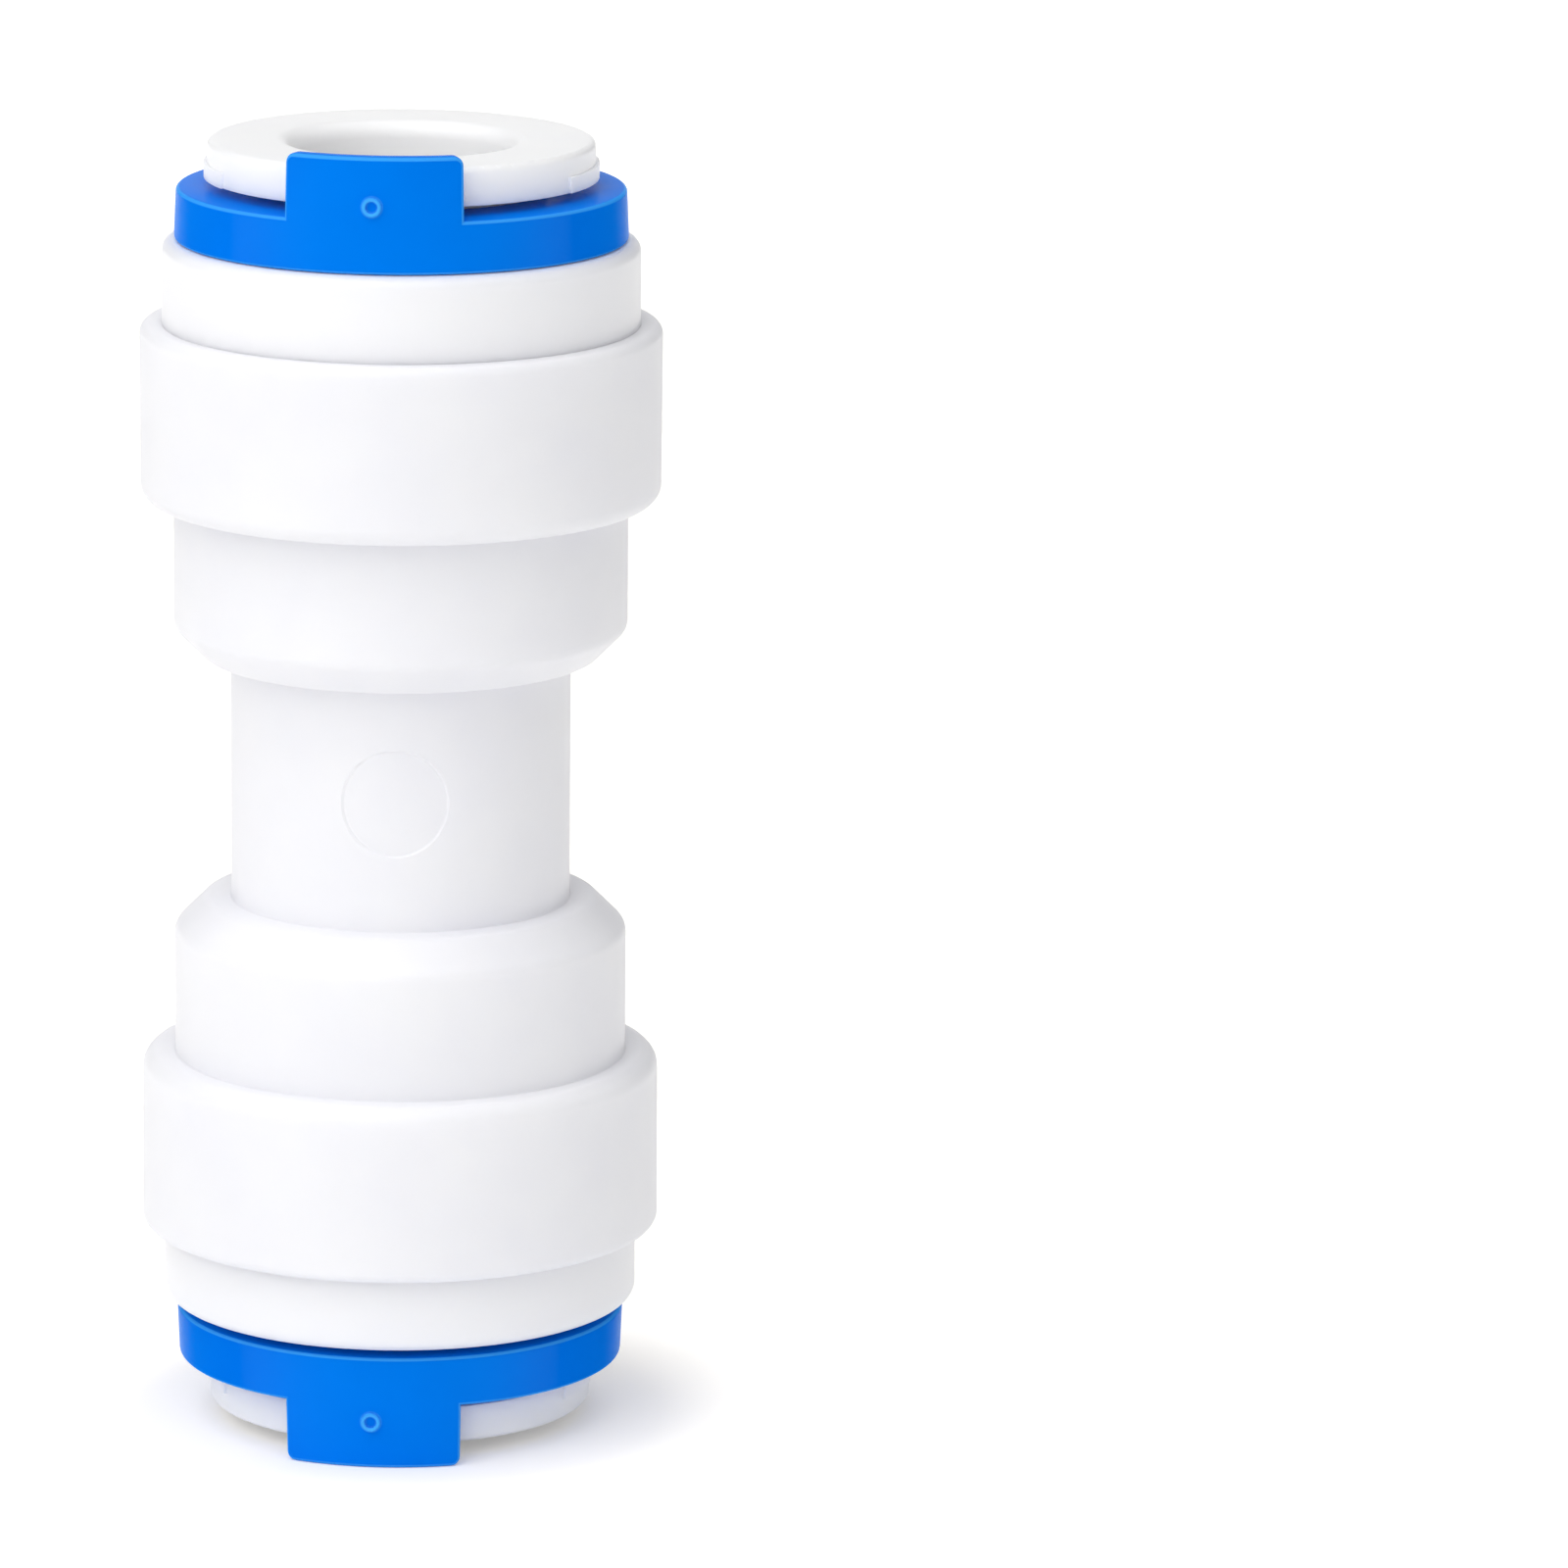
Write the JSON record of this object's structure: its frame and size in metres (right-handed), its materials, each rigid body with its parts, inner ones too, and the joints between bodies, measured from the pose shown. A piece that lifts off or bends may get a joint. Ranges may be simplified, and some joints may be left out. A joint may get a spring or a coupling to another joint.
{
  "type": "push-in pipe union",
  "caption": "Straight push-in union for small water pipe, with a sprung collet, an O-ring seal and a blue locking clip at each end.",
  "frame": {"origin": "on the fitting's axis, in the plane of the lower clip's tab edge, on which it stands", "axes": "+Z along the axis to the upper mouth; -Y towards the side where both clips' tabs are"},
  "size_m": [0.0156, 0.0156, 0.0396],
  "materials": {
    "white_moulding": "satin moulded",
    "white_collet": "satin moulded",
    "spacer_plastic": "satin moulded",
    "blue_clip": "semi-gloss moulded",
    "seal_rubber": "matt, greased",
    "tooth_steel": "bright stamped"
  },
  "bodies": {
    "fitting": {"fitting_body": "white_moulding", "upper_cap": "white_moulding", "upper_o_ring": "seal_rubber", "upper_spacer": "spacer_plastic", "lower_cap": "white_moulding", "lower_o_ring": "seal_rubber", "lower_spacer": "spacer_plastic"},
    "upper_collet_set": {"upper_collet": "white_collet", "upper_grip_tooth_1": "tooth_steel", "upper_grip_tooth_2": "tooth_steel", "upper_grip_tooth_3": "tooth_steel", "upper_grip_tooth_4": "tooth_steel"},
    "upper_locking_clip": {"upper_clip": "blue_clip"},
    "lower_collet_set": {"lower_collet": "white_collet", "lower_grip_tooth_1": "tooth_steel", "lower_grip_tooth_2": "tooth_steel", "lower_grip_tooth_3": "tooth_steel", "lower_grip_tooth_4": "tooth_steel"},
    "lower_locking_clip": {"lower_clip": "blue_clip"}
  },
  "joints": [
    {"name": "upper_collet_float", "type": "slide", "parent": "fitting", "child": "upper_collet_set", "axis": [0, 0, 1], "range_m": [-0.00025, 0.00025]},
    {"name": "upper_clip_pull", "type": "slide", "parent": "fitting", "child": "upper_locking_clip", "axis": [0, -1, 0], "range_m": [0, 0.0095]},
    {"name": "lower_collet_float", "type": "slide", "parent": "fitting", "child": "lower_collet_set", "axis": [0, 0, -1], "range_m": [-0.00025, 0.00025]},
    {"name": "lower_clip_pull", "type": "slide", "parent": "fitting", "child": "lower_locking_clip", "axis": [0, -1, 0], "range_m": [0, 0.0095]}
  ]
}
